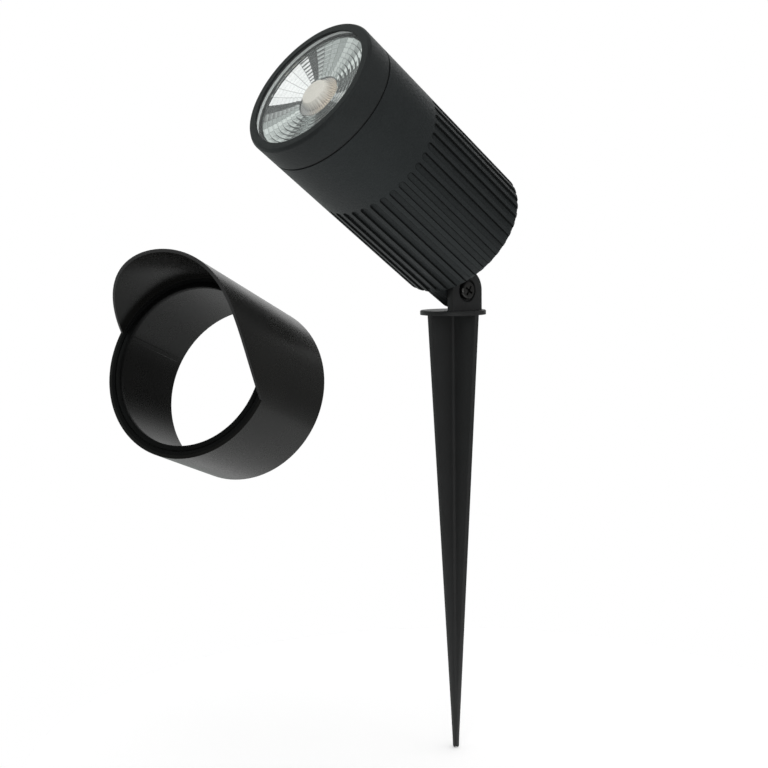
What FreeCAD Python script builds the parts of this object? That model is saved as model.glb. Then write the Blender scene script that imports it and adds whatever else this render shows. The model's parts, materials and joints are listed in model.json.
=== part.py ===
"""Garden spike spotlight: a finned lamp head that tilts on one hinge ear above a ground spike,
with a push-on glare shield shown taken off beside it. Millimetres, +Z up.

Origin: centre of the flange's underside, where the flange rests on the ground.
The tilt axis runs along Y. The head leans towards -X at rest.
"""
import FreeCAD, Part
import math
import os

V = FreeCAD.Vector
X_AXIS = V(1, 0, 0)
Y_AXIS = V(0, 1, 0)
Z_AXIS = V(0, 0, 1)

# ------------------------------------------------------------------ spike and ear
FLANGE_R = 15.0
FLANGE_T = 2.0
FLANGE_BREAK = 0.3
SPIKE_LEN = 203.4            # below the flange
BLADE_HALF_TOP = 15.0        # reach of each blade under the flange
BLADE_HALF_TIP = 1.0         # reach where the rounded point begins
BLADE_T = 2.5
BLADE_POINT = 5.0            # length of the rounded point
EAR_HALF = 9.3               # half width, and radius of the rounded top
EAR_T = 3.4
EAR_FACE_Y = -9.2            # outer face
PIVOT_RISE = 9.0             # pivot above the flange
EAR_RECESS_R = 5.3
EAR_RECESS_DEPTH = 1.4

# ------------------------------------------------------------------ pivot fasteners
SCREW_R = 2.0                # M4
SCREW_LEN = 12.0
SCREW_HEAD_R = 4.0
SCREW_HEAD_H = 2.4
SCREW_CROWN = 0.9            # rounding of the head
CROSS_W = 1.0                # cross recess
CROSS_REACH = 2.4
CROSS_DEPTH = 1.5
SCREW_RUN = 0.08             # radial running clearance round the screw
FRICTION_R = 7.2
FRICTION_T = 0.6
NUT_FLATS = 7.0
NUT_H = 3.0
NUT_PROUD = 0.3              # past the lug's far face
NUT_POCKET_SLACK = 0.15      # each side of the nut
LOCK_R = 3.4
LOCK_T = 0.9

# ------------------------------------------------------------------ head, along its own axis
LEAN_DEG = 55.7              # head axis from upright, as shown
HEAD_OFFSET = 24.0           # from the tilt axis to the head's axis
HEAD_R = 32.5
REAR_Z = 10.5                # rear face, measured from the tilt axis
HEAD_LEN = 106.8
REAR_ROUND = 1.9
BEZEL_LEN = 13.4
END_WALL = 3.5
CAVITY_R = 25.6

FIN_COUNT = 40
FIN_LEN = 62.8
FIN_SLOT_W = 2.9
FIN_SLOT_DEPTH = 1.0
SLOT_END_FLATS = 4           # flats that make up a slot's round end
FIN_PHASE = 1.8              # degrees from the head's underside to the nearest slot

LUG_R = 7.7
LUG_ROOT = 3.0               # how far the lug runs up into the fins
LUG_FLARE = 0.3              # widening towards the root, each side
LUG_FAR_Y = 2.0

# ------------------------------------------------------------------ nose, bezel and glass
NOSE_R = 30.2
NOSE_LEN = 9.0
THREAD_GAP = 0.1
SKIRT_R = 27.0               # bore that holds the heat plate
MOUTH_R = 28.4               # bore that holds the reflector
MOUTH_DEPTH = 5.4
GASKET_T = 1.2
GLASS_T = 2.4
GLASS_R = 29.9
BEZEL_OPEN_R = 28.3
BEZEL_ROUND = 1.8
SEAM_SEAL_R = 32.0
SEAM_SEAL_T = 0.6

# ------------------------------------------------------------------ light engine
PLATE_T = 5.0
PLATE_BELOW_LEDGE = 0.9
PLATE_GAP = 0.2
PAD_T = 0.3
BOARD_R = 20.0
BOARD_T = 1.6
CHIP_HALF = 6.0
CHIP_T = 0.6
PHOSPHOR_R = 4.2
PHOSPHOR_T = 0.2
HOLDER_R = 11.8
HOLDER_BORE_R = 5.0
HOLDER_T = 1.0
LENS_FLANGE_R = 9.6
LENS_FLANGE_T = 0.8
LENS_BASE_R = 8.0
LENS_TOP_R = 6.4
LENS_TOP_BELOW_GLASS = 0.5
LENS_FLUTES = 24
LENS_FLUTE_SHARE = 0.05      # depth of a flute, of the radius
LENS_EDGE = 0.5

SECTORS = 36
RINGS = 8
DISH_MOUTH_R = 27.5
DISH_MOUTH_BELOW_GLASS = 0.5
DISH_NECK_R = 10.0
DISH_DEPTH = 2.8
DISH_POWER = 1.5
DISH_WALL = 1.0
NECK_WALL = 1.1
RIM_STEP = 0.6               # inside of the rim's skirt, from the dish's mouth
REFLECTOR_SLACK = 0.2

BOSS_COUNT = 3
BOSS_R = 3.3
BOSS_AT_R = 23.0
PLATE_SCREW_R = 1.5
PLATE_SCREW_LEN = 12.0
PLATE_SCREW_HEAD_R = 2.7
PLATE_SCREW_HEAD_H = 1.9
BOARD_SCREW_R = 1.25
BOARD_SCREW_AT_R = 16.5
BOARD_SCREW_LEN = 5.5
BOARD_SCREW_HEAD_R = 2.3
BOARD_SCREW_HEAD_H = 1.2
HOLE_SLACK = 0.15
BOARD_SCREW_ANGLE = 90.0
BOSS_ANGLE = 30.0
LEAD_HOLE_R = 2.2
LEAD_HOLE_AT_R = 22.6
LEAD_R = 0.6
LEAD_SIDE = 0.9              # each lead's centre, to its side of the pair's middle
LEAD_BEND = 1.8              # cut across each corner
ROD_FLATS = 8
LEAD_OUT = 6.0               # how far it leaves the driver board before it turns up
LEAD_OVER_TRAY = 2.0         # how far above the tray's end it turns out
LEAD_RISE = 12.0             # from there to level with the hole
PAD_AT_R = 17.2

# ------------------------------------------------------------------ driver
TRAY_R = 19.2
TRAY_WALL = 1.4
TRAY_LEN = 62.0
TRAY_FLOOR = 1.6
TRAY_HOLE_R = 8.0
PCB_OFFSET = -6.0            # board's back face, from the head's axis
PCB_T = 1.6
PCB_LEN = 56.0
PCB_SIDE_GAP = 0.25
CORE_AT = 22.0               # along the board, from its rear end
CORE_W = 16.0
CORE_LEN = 16.0
CORE_H = 14.0
CORE_YOKE = 2.5
CORE_LEG = 3.0
WIRE_SLACK = 0.1
CAN_SIDE = 7.0
CAN_SMALL_R = 4.0
CAN_SMALL_H = 12.0
CAN_SMALL_AT = 47.0
CAN_LARGE_R = 5.0
CAN_LARGE_H = 14.0
CAN_LARGE_AT = 14.0
CHOKE_R = 5.0
CHOKE_WAIST_R = 4.0
CHOKE_H = 9.0
BLOCK_AT = 2.0
BLOCK_L = 9.0
BLOCK_H = 8.0
BLOCK_Y = -7.0
BLOCK_PITCH = 5.0
BLOCK_HOLE_R = 1.4

# ------------------------------------------------------------------ cable gland
GLAND_R = 6.0                # M12 thread
GLAND_BORE_R = 4.4
GLAND_INSIDE = 1.0
GLAND_HEX = 15.0
GLAND_HEX_H = 4.0
GLAND_WASHER_R = 7.3
GLAND_WASHER_T = 1.0
GLAND_NECK_R = 5.6
GLAND_NECK_LEN = 5.0
DOME_FLATS = 14.0
DOME_FLATS_H = 4.0
DOME_LEN = 7.0
DOME_END = 1.5               # thickness of its end
DOME_R = 6.7
DOME_TAPER = 1.8
DOME_HOLE_R = 4.0
CABLE_R = 3.5
SEAL_INSIDE = 4.0
SEAL_OUTSIDE = 0.5           # past the neck, against the dome nut's end

# ------------------------------------------------------------------ glare shield
SHIELD_SLIP = 0.3            # over the head
SHIELD_WALL = 1.2
SHIELD_RING_LEN = 40.3
SHIELD_LIP_R = 29.3
SHIELD_LIP_T = 2.0
SHIELD_GROOVE_R = 31.0
SHIELD_GROOVE_W = 0.5
SHIELD_GROOVE_DEPTH = 0.4
VISOR_LEN = 28.5
VISOR_POWER = 2.1
VISOR_STEPS = 9
RIB_W = 1.6
RIB_H = 0.2
RIB_START = 3.0
RIB_END = 4.0                # short of the lip
SHIELD_AHEAD = 132.1         # centre of its rear rim, where it is shown: towards -X,
SHIELD_ASIDE = 18.5          # towards -Y
SHIELD_BELOW = 23.3          # and below the flange's underside
SHIELD_AZIMUTH = -157.6      # its axis, from +X about Z
SHIELD_RISE = 19.8           # its axis above level
SHIELD_ROLL = 19.9           # visor's middle, turned about the axis from straight up

ROUND_FLATS = 2              # flats that make up a rounded rim
HIDDEN_SIDES = 32            # sides of round pieces that stay out of sight
SMALL_SIDES = 16             # sides of the small ones

# ------------------------------------------------------------------ worked out
PIVOT_Z = FLANGE_T + PIVOT_RISE
EAR_INNER_Y = EAR_FACE_Y + EAR_T
SCREW_SEAT_Y = EAR_FACE_Y + EAR_RECESS_DEPTH
LUG_NEAR_Y = EAR_INNER_Y + FRICTION_T
NUT_FAR_Y = LUG_FAR_Y + NUT_PROUD
NUT_NEAR_Y = NUT_FAR_Y - NUT_H
LOCK_NEAR_Y = NUT_NEAR_Y - LOCK_T
FRONT_Z = REAR_Z + HEAD_LEN
SEAM_Z = FRONT_Z - BEZEL_LEN
NOSE_Z = SEAM_Z + NOSE_LEN
GLASS_Z = NOSE_Z + GASKET_T
LEDGE_Z = NOSE_Z - MOUTH_DEPTH
PLATE_Z = LEDGE_Z - PLATE_BELOW_LEDGE
PAD_Z = PLATE_Z + PAD_T
BOARD_Z = PAD_Z + BOARD_T
HOLDER_Z = BOARD_Z + HOLDER_T
LENS_Z = HOLDER_Z + LENS_FLANGE_T
DISH_MOUTH_Z = GLASS_Z - DISH_MOUTH_BELOW_GLASS
FLOOR_Z = REAR_Z + END_WALL
PCB_Z = FLOOR_Z + TRAY_FLOOR
PCB_FACE_X = PCB_OFFSET + PCB_T
SHIELD_BORE_R = HEAD_R + SHIELD_SLIP
SHIELD_R = SHIELD_BORE_R + SHIELD_WALL
HEX_EAVES = math.cos(math.radians(30))


# ------------------------------------------------------------------ helpers
def cyl(radius, z0, z1, x=0.0, y=0.0):
    return Part.makeCylinder(radius, z1 - z0, V(x, y, z0))


def ring(r_out, r_in, z0, z1):
    return cyl(r_out, z0, z1).cut(cyl(r_in, z0 - 1, z1 + 1))


def cyl_y(radius, y0, y1, x, z):
    return Part.makeCylinder(radius, y1 - y0, V(x, y0, z), Y_AXIS)


def box(x0, x1, y0, y1, z0, z1):
    return Part.makeBox(x1 - x0, y1 - y0, z1 - z0, V(x0, y0, z0))


def prism(radius, sides, z0, z1):
    corners = [V(*polar(radius, 360 / sides * i), z0) for i in range(sides)]
    return Part.Face(Part.makePolygon(corners + corners[:1])).extrude(V(0, 0, z1 - z0))


def disc(radius, z0, z1):
    """A many-sided round plate or plug, for what stays out of sight."""
    return prism(radius, HIDDEN_SIDES, z0, z1)


def band(r_out, r_in, z0, z1):
    """A many-sided ring whose hole clears the inner radius."""
    return disc(r_out, z0, z1).cut(disc(r_in / math.cos(math.pi / HIDDEN_SIDES), z0 - 1, z1 + 1))


def hexagon(flats, z0, z1):
    return prism(flats / 2 / HEX_EAVES, 6, z0, z1)


def stub(radius, height, foot):
    """A small many-sided post that stands on the driver board, along X."""
    post = prism(radius, SMALL_SIDES, 0, height)
    post.rotate(V(0, 0, 0), Y_AXIS, 90)
    return post.translated(foot)


def revolved(profile):
    """A solid of revolution about Z from a closed profile of (radius, z) points."""
    points = [V(r, 0, z) for r, z in profile]
    return Part.Face(Part.makePolygon(points + points[:1])).revolve(V(0, 0, 0), Z_AXIS, 360)


def rounding(radius, z, size, end):
    """Points of a profile round an outer corner, in flats: end is 1 where it is the front corner."""
    points = []
    for i in range(ROUND_FLATS + 1):
        turn = math.pi / 2 * i / ROUND_FLATS
        points.append((radius - size * (1 - math.cos(turn)), z + end * size * (math.sin(turn) - 1)))
    return points


def polar(radius, degrees):
    return radius * math.cos(math.radians(degrees)), radius * math.sin(math.radians(degrees))


def turned(shape, degrees):
    return shape.rotated(V(0, 0, 0), Z_AXIS, degrees)


def lean_head(shape):
    """From the head's own frame, its axis along Z, to where it stands on the ear."""
    placed = shape.translated(V(HEAD_OFFSET, 0, 0))
    placed.rotate(V(0, 0, 0), Y_AXIS, -LEAN_DEG)
    placed.translate(V(0, 0, PIVOT_Z))
    return placed


def place_shield(shape):
    """From the shield's own frame, bore along Z and visor towards +X, to where it is shown."""
    placed = turned(shape, 180 - SHIELD_ROLL)
    placed.rotate(V(0, 0, 0), Y_AXIS, 90 - SHIELD_RISE)
    placed.rotate(V(0, 0, 0), Z_AXIS, SHIELD_AZIMUTH)
    placed.translate(V(-SHIELD_AHEAD, -SHIELD_ASIDE, -SHIELD_BELOW))
    return placed


# ------------------------------------------------------------------ spike with flange and ear
def blade():
    """One tapering plate through the spike's axis, its point rounded."""
    shoulder = -(SPIKE_LEN - BLADE_POINT)
    left = V(-BLADE_HALF_TIP, 0, shoulder)
    right = V(BLADE_HALF_TIP, 0, shoulder)
    top_left = V(-BLADE_HALF_TOP, 0, 0)
    top_right = V(BLADE_HALF_TOP, 0, 0)
    point_r = BLADE_HALF_TIP * 0.8
    base = -(SPIKE_LEN - point_r)
    nib = Part.Arc(V(point_r, 0, base), V(0, 0, -SPIKE_LEN), V(-point_r, 0, base)).toShape()
    outline = Part.Wire([Part.makeLine(top_left, top_right), Part.makeLine(top_right, right),
                         Part.makeLine(right, V(point_r, 0, base)), nib,
                         Part.makeLine(V(-point_r, 0, base), left), Part.makeLine(left, top_left)])
    plate = Part.Face(outline).extrude(V(0, BLADE_T, 0))
    return plate.translated(V(0, -BLADE_T / 2, 0))


def ear():
    """Round-topped ear beside the lug, its screw head let into a round recess."""
    inside = FLANGE_T / 2
    plate = box(-EAR_HALF, EAR_HALF, EAR_FACE_Y, EAR_INNER_Y, inside, PIVOT_Z)
    plate = plate.fuse(cyl_y(EAR_HALF, EAR_FACE_Y, EAR_INNER_Y, 0, PIVOT_Z)).removeSplitter()
    plate = plate.cut(cyl_y(EAR_RECESS_R, EAR_FACE_Y - 1, SCREW_SEAT_Y, 0, PIVOT_Z))
    return plate.cut(cyl_y(SCREW_R + SCREW_RUN, EAR_FACE_Y, EAR_INNER_Y + 1, 0, PIVOT_Z))


def ground_spike():
    flange = revolved([(0, 0), (FLANGE_R, 0), (FLANGE_R, FLANGE_T - FLANGE_BREAK),
                       (FLANGE_R - FLANGE_BREAK, FLANGE_T), (0, FLANGE_T)])
    cross = blade().fuse(turned(blade(), 90))
    return flange.fuse([cross, ear()]).removeSplitter()


# ------------------------------------------------------------------ pivot fasteners, head frame
def pivot_screw():
    x = -HEAD_OFFSET
    head = revolved([(0, 0), (SCREW_HEAD_R, 0)] + rounding(SCREW_HEAD_R, SCREW_HEAD_H, SCREW_CROWN, 1)
                    + [(0, SCREW_HEAD_H)])
    head.rotate(V(0, 0, 0), X_AXIS, 90)
    head.translate(V(x, SCREW_SEAT_Y, 0))
    shank = cyl_y(SCREW_R, SCREW_SEAT_Y - 0.5, SCREW_SEAT_Y + SCREW_LEN, x, 0)
    slot_half = CROSS_W / 2
    reach = CROSS_REACH
    deep = SCREW_SEAT_Y - SCREW_HEAD_H + CROSS_DEPTH
    cross = box(x - reach, x + reach, deep - 3, deep, -slot_half, slot_half)
    cross = cross.fuse(box(x - slot_half, x + slot_half, deep - 3, deep, -reach, reach))
    return head.fuse(shank).cut(cross)


def friction_washer():
    disc = cyl_y(FRICTION_R, EAR_INNER_Y, LUG_NEAR_Y, -HEAD_OFFSET, 0)
    return disc.cut(cyl_y(SCREW_R + SCREW_RUN, EAR_INNER_Y - 1, LUG_NEAR_Y + 1, -HEAD_OFFSET, 0))


def lock_washer():
    """Split spring washer under the nut."""
    disc = cyl_y(LOCK_R, LOCK_NEAR_Y, NUT_NEAR_Y, -HEAD_OFFSET, 0)
    disc = disc.cut(cyl_y(SCREW_R + SCREW_RUN, LOCK_NEAR_Y - 1, NUT_NEAR_Y + 1, -HEAD_OFFSET, 0))
    split = box(-HEAD_OFFSET, -HEAD_OFFSET + LOCK_R + 1, LOCK_NEAR_Y - 1, NUT_NEAR_Y + 1, -0.4, 0.4)
    return disc.cut(split)


def nut_blank(flats, y0, y1):
    blank = hexagon(flats, 0, y1 - y0)
    blank.rotate(V(0, 0, 0), X_AXIS, -90)
    return blank.translated(V(-HEAD_OFFSET, y0, 0))


def pivot_nut():
    nut = nut_blank(NUT_FLATS, NUT_NEAR_Y, NUT_FAR_Y)
    return nut.cut(cyl_y(SCREW_R + SCREW_RUN, NUT_NEAR_Y - 1, NUT_FAR_Y + 1, -HEAD_OFFSET, 0))


# ------------------------------------------------------------------ housing
def lug():
    """Hinge lug, close to the head's side and narrowing to its rounded end."""
    top = REAR_Z + LUG_ROOT
    thick = LUG_FAR_Y - LUG_NEAR_Y
    outline = [V(-HEAD_OFFSET - LUG_R, LUG_NEAR_Y, 0),
               V(-HEAD_OFFSET + LUG_R, LUG_NEAR_Y, 0),
               V(-HEAD_OFFSET + LUG_R + LUG_FLARE, LUG_NEAR_Y, top),
               V(-HEAD_OFFSET - LUG_R - LUG_FLARE, LUG_NEAR_Y, top)]
    web = Part.Face(Part.makePolygon(outline + outline[:1])).extrude(V(0, thick, 0))
    return web.fuse(cyl_y(LUG_R, LUG_NEAR_Y, LUG_FAR_Y, -HEAD_OFFSET, 0))


def lug_cuts():
    hole = cyl_y(SCREW_R + SCREW_RUN, LUG_NEAR_Y - 1, LUG_FAR_Y + 1, -HEAD_OFFSET, 0)
    pocket = nut_blank(NUT_FLATS + 2 * NUT_POCKET_SLACK, LOCK_NEAR_Y, LUG_FAR_Y + 1)
    return [hole, pocket]


def fin_slots():
    """Slots with a rounded front end, open at the rear."""
    floor_r = HEAD_R - FIN_SLOT_DEPTH
    half = FIN_SLOT_W / 2
    end_z = REAR_Z + FIN_LEN - half
    outline = [V(floor_r, half, REAR_Z - 1), V(floor_r, -half, REAR_Z - 1)]
    for i in range(SLOT_END_FLATS + 1):
        turn = math.pi * i / SLOT_END_FLATS
        outline.append(V(floor_r, -half * math.cos(turn), end_z + half * math.sin(turn)))
    tool = Part.Face(Part.makePolygon(outline + outline[:1])).extrude(X_AXIS * (HEAD_R + 1 - floor_r))
    pitch = 360 / FIN_COUNT
    return [turned(tool, 180 + FIN_PHASE + pitch * i) for i in range(FIN_COUNT)]


def boss_angles():
    return [BOSS_ANGLE + 360 / BOSS_COUNT * i for i in range(BOSS_COUNT)]


def body_shell():
    """The turned body: rounded rear rim, plain band, stepped nose and the bores inside."""
    plate_floor = PLATE_Z - PLATE_T
    outside = [(GLAND_R, REAR_Z)] + rounding(HEAD_R, REAR_Z, REAR_ROUND, -1)[::-1]
    outside += [(HEAD_R, SEAM_Z), (NOSE_R, SEAM_Z)]
    inside = [(NOSE_R, NOSE_Z), (MOUTH_R, NOSE_Z), (MOUTH_R, LEDGE_Z), (SKIRT_R, LEDGE_Z),
              (SKIRT_R, plate_floor), (CAVITY_R, plate_floor), (CAVITY_R, FLOOR_Z), (GLAND_R, FLOOR_Z)]
    return revolved(outside + inside)


def plate_bosses():
    """Posts along the cavity's wall that the heat plate is screwed down to."""
    top = PLATE_Z - PLATE_T
    bosses = []
    for angle in boss_angles():
        x, y = polar(BOSS_AT_R, angle)
        post = cyl(BOSS_R, FLOOR_Z - 1, top, x, y).common(cyl(CAVITY_R + 1, FLOOR_Z - 1, top))
        bosses.append(post.cut(cyl(PLATE_SCREW_R, top - PLATE_SCREW_LEN, top + 1, x, y)))
    return bosses


def housing():
    body = body_shell().cut(fin_slots())
    body = body.fuse(lug()).cut(lug_cuts())
    return body.fuse(plate_bosses()).removeSplitter()


# ------------------------------------------------------------------ bezel, seals and glass
def bezel_ring():
    lip_z = GLASS_Z + GLASS_T
    inner_r = NOSE_R + THREAD_GAP
    back_z = SEAM_Z + SEAM_SEAL_T
    return revolved([(inner_r, back_z), (HEAD_R, back_z)] + rounding(HEAD_R, FRONT_Z, BEZEL_ROUND, 1)
                    + [(BEZEL_OPEN_R, FRONT_Z), (BEZEL_OPEN_R, lip_z), (inner_r, lip_z)])


def front_glass():
    return cyl(GLASS_R, GLASS_Z, GLASS_Z + GLASS_T)


def glass_gasket():
    return band(GLASS_R, MOUTH_R, NOSE_Z, GLASS_Z)


def body_seal():
    """Flat seal in the seam, clamped when the bezel is screwed down."""
    return band(SEAM_SEAL_R, NOSE_R, SEAM_Z, SEAM_Z + SEAM_SEAL_T)


# ------------------------------------------------------------------ faceted reflector
def dish_point(step):
    """Radius and height of the dish at a ring, from the neck (0) to the mouth (RINGS)."""
    share = step / RINGS
    radius = DISH_NECK_R + (DISH_MOUTH_R - DISH_NECK_R) * share
    height = DISH_MOUTH_Z - DISH_DEPTH * (1 - share ** DISH_POWER)
    return radius, height


def faceted(rings, loop=False):
    """A solid of flat facets between rings of corners: closed at both ends, or round to the first."""
    faces = [] if loop else [Part.Face(Part.makePolygon(end + end[:1])) for end in (rings[0], rings[-1])]
    for low, high in zip(rings, rings[1:] + rings[:1] if loop else rings[1:]):
        for i in range(len(low)):
            j = (i + 1) % len(low)
            faces.append(Part.Face(Part.makePolygon([low[i], low[j], high[j], high[i], low[i]])))
    solid = Part.Solid(Part.Shell(faces))
    if solid.Volume < 0:
        solid.reverse()
    return solid


def reflector():
    """Dish, rim and neck of one moulding, with the same sectors outside as in the dish."""
    rim_r = MOUTH_R - REFLECTOR_SLACK
    skirt_r = DISH_MOUTH_R - RIM_STEP
    under_z = dish_point(0)[1] - DISH_WALL
    profile = [dish_point(step) for step in range(RINGS + 1)]
    profile += [(DISH_MOUTH_R, GLASS_Z), (rim_r, GLASS_Z), (rim_r, LEDGE_Z), (skirt_r, LEDGE_Z),
                (skirt_r, DISH_MOUTH_Z - DISH_WALL * 2), (DISH_NECK_R + NECK_WALL, under_z),
                (DISH_NECK_R + NECK_WALL, HOLDER_Z), (DISH_NECK_R, HOLDER_Z)]
    return faceted([[V(*polar(radius, 360 / SECTORS * i), z) for i in range(SECTORS)]
                    for radius, z in profile], loop=True)


# ------------------------------------------------------------------ light engine
def heat_plate():
    plate = disc(SKIRT_R - PLATE_GAP, PLATE_Z - PLATE_T, PLATE_Z)
    holes = []
    for angle in boss_angles():
        at = polar(BOSS_AT_R, angle)
        holes.append(cyl(PLATE_SCREW_R + HOLE_SLACK, PLATE_Z - PLATE_T - 1, PLATE_Z + 1, *at))
    for turn in (0, 180):
        at = polar(BOARD_SCREW_AT_R, BOARD_SCREW_ANGLE + turn)
        holes.append(cyl(BOARD_SCREW_R, PLATE_Z - PLATE_T - 1, PLATE_Z + 1, *at))
    holes.append(cyl(LEAD_HOLE_R, PLATE_Z - PLATE_T - 1, PLATE_Z + 1, -LEAD_HOLE_AT_R))
    return plate.cut(holes)


def round_sheet(radius, z0, z1):
    sheet = disc(radius, z0, z1)
    for turn in (0, 180):
        at = polar(BOARD_SCREW_AT_R, BOARD_SCREW_ANGLE + turn)
        sheet = sheet.cut(cyl(BOARD_SCREW_R + HOLE_SLACK, z0 - 1, z1 + 1, *at))
    return sheet


def thermal_pad():
    return round_sheet(BOARD_R, PLATE_Z, PAD_Z)


def led_board():
    return round_sheet(BOARD_R, PAD_Z, BOARD_Z)


def led_chip():
    return box(-CHIP_HALF, CHIP_HALF, -CHIP_HALF, CHIP_HALF, BOARD_Z, BOARD_Z + CHIP_T)


def led_phosphor():
    return disc(PHOSPHOR_R, BOARD_Z + CHIP_T, BOARD_Z + CHIP_T + PHOSPHOR_T)


def led_holder():
    body = band(HOLDER_R, HOLDER_BORE_R, BOARD_Z, HOLDER_Z)
    pocket = CHIP_HALF + HOLE_SLACK
    top = BOARD_Z + CHIP_T
    return body.cut(box(-pocket, pocket, -pocket, pocket, BOARD_Z - 1, top))


def fluted_ring(radius, z):
    """Corners of a ring with shallow flutes between its ridges."""
    corners = []
    for i in range(LENS_FLUTES * 2):
        reach = radius * (1 - LENS_FLUTE_SHARE * (i % 2))
        corners.append(V(*polar(reach, 180 / LENS_FLUTES * i), z))
    return corners


def centre_lens():
    """Flat-topped lens with a fluted side, standing on the holder inside the neck."""
    top_z = GLASS_Z - LENS_TOP_BELOW_GLASS
    rings = [fluted_ring(LENS_BASE_R, LENS_Z - LENS_FLANGE_T / 2),
             fluted_ring(LENS_TOP_R, top_z - LENS_EDGE),
             fluted_ring(LENS_TOP_R - LENS_EDGE, top_z)]
    return faceted(rings).fuse(cyl(LENS_FLANGE_R, HOLDER_Z, LENS_Z))


def cap_screw(radius, length, head_r, head_h, seat_z, x, y):
    head = prism(head_r, SMALL_SIDES, seat_z, seat_z + head_h)
    driven = hexagon(head_r, seat_z + head_h * 0.4, seat_z + head_h + 1)
    screw = head.cut(driven).fuse(prism(radius, SMALL_SIDES, seat_z - length, seat_z))
    return screw.translated(V(x, y, 0))


def plate_screws():
    size = (PLATE_SCREW_R, PLATE_SCREW_LEN, PLATE_SCREW_HEAD_R, PLATE_SCREW_HEAD_H, PLATE_Z)
    return Part.makeCompound([cap_screw(*size, *polar(BOSS_AT_R, angle)) for angle in boss_angles()])


def board_screws():
    size = (BOARD_SCREW_R, BOARD_SCREW_LEN, BOARD_SCREW_HEAD_R, BOARD_SCREW_HEAD_H, BOARD_Z)
    turns = (BOARD_SCREW_ANGLE, BOARD_SCREW_ANGLE + 180)
    return Part.makeCompound([cap_screw(*size, *polar(BOARD_SCREW_AT_R, angle)) for angle in turns])


def flat_rod(points, radius):
    """A flat-sided rod through points at one Y, mitred where it turns."""
    ways = [(b - a).normalize() for a, b in zip(points, points[1:])]
    rings = []
    for point, before, after in zip(points, ways[:1] + ways, ways + ways[-1:]):
        normal = before.cross(Y_AXIS) + after.cross(Y_AXIS)
        mitre = normal * (2 * radius / normal.Length ** 2)
        turns = [2 * math.pi * i / ROD_FLATS for i in range(ROD_FLATS)]
        rings.append([point + mitre * math.cos(t) + Y_AXIS * (radius * math.sin(t)) for t in turns])
    return faceted(rings)


def eased_route(points, bend):
    """The points with a short straight run across each corner."""
    route = [points[0]]
    for before, corner, after in zip(points, points[1:], points[2:]):
        route.append(corner + (before - corner).normalize() * bend)
        route.append(corner + (after - corner).normalize() * bend)
    return route + [points[-1]]


def led_leads():
    """Two insulated leads from the driver, through the heat plate and over to the board's pads."""
    foot_z = PCB_Z + PCB_LEN - LEAD_OUT
    turn_z = FLOOR_Z + TRAY_LEN + LEAD_OVER_TRAY
    pad_z = BOARD_Z + LEAD_R
    leads = []
    for y in (-LEAD_SIDE, LEAD_SIDE):
        route = [V(PCB_OFFSET, y, foot_z), V(PCB_OFFSET - LEAD_OUT, y, foot_z),
                 V(PCB_OFFSET - LEAD_OUT, y, turn_z), V(-LEAD_HOLE_AT_R, y, turn_z + LEAD_RISE),
                 V(-LEAD_HOLE_AT_R, y, pad_z), V(-PAD_AT_R, y, pad_z)]
        leads.append(flat_rod(eased_route(route, LEAD_BEND), LEAD_R))
    return Part.makeCompound(leads)


# ------------------------------------------------------------------ driver
def driver_tray():
    """Insulating cup that keeps the driver off the metal housing."""
    tray = disc(TRAY_R, FLOOR_Z, FLOOR_Z + TRAY_LEN)
    tray = tray.cut(disc(TRAY_R - TRAY_WALL, FLOOR_Z + TRAY_FLOOR, FLOOR_Z + TRAY_LEN + 1))
    return tray.cut(disc(TRAY_HOLE_R, FLOOR_Z - 1, FLOOR_Z + TRAY_FLOOR + 1))


def driver_board():
    half = math.sqrt((TRAY_R - TRAY_WALL) ** 2 - PCB_OFFSET ** 2) - PCB_SIDE_GAP
    return box(PCB_OFFSET, PCB_FACE_X, -half, half, PCB_Z, PCB_Z + PCB_LEN)


def driver_transformer():
    """Transformer core with two openings that the winding passes through."""
    z = PCB_Z + CORE_AT
    half = CORE_LEN / 2
    core = box(PCB_FACE_X, PCB_FACE_X + CORE_H, -half, half, z, z + CORE_W)
    low = PCB_FACE_X + CORE_YOKE
    high = PCB_FACE_X + CORE_H - CORE_YOKE
    near = box(low, high, -half - 1, half + 1, z + CORE_LEG, z + CORE_LEG * 2)
    far = box(low, high, -half - 1, half + 1, z + CORE_W - CORE_LEG * 2, z + CORE_W - CORE_LEG)
    return core.cut([near, far])


def driver_winding():
    """The winding's two sides, one in each opening of the core."""
    z = PCB_Z + CORE_AT
    half = CORE_LEN / 2 + 1
    low = PCB_FACE_X + CORE_YOKE + WIRE_SLACK
    high = PCB_FACE_X + CORE_H - CORE_YOKE - WIRE_SLACK
    near = box(low, high, -half, half, z + CORE_LEG, z + CORE_LEG * 2 - WIRE_SLACK)
    far = box(low, high, -half, half, z + CORE_W - CORE_LEG * 2 + WIRE_SLACK, z + CORE_W - CORE_LEG)
    return Part.makeCompound([near, far])


def driver_capacitors():
    """Input and output electrolytics, standing on the board."""
    small_foot = V(PCB_FACE_X, -CAN_SIDE, PCB_Z + CAN_SMALL_AT)
    large_foot = V(PCB_FACE_X, CAN_SIDE, PCB_Z + CAN_LARGE_AT)
    return Part.makeCompound([stub(CAN_SMALL_R, CAN_SMALL_H, small_foot),
                              stub(CAN_LARGE_R, CAN_LARGE_H, large_foot)])


def driver_choke():
    """Drum-core choke: a waist between two ends."""
    foot = V(PCB_FACE_X, CAN_SIDE, PCB_Z + CAN_SMALL_AT)
    end = CHOKE_H / 4
    waist = stub(CHOKE_WAIST_R, CHOKE_H, foot)
    return waist.fuse([stub(CHOKE_R, end, foot), stub(CHOKE_R, end, foot + X_AXIS * (CHOKE_H - end))])


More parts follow.
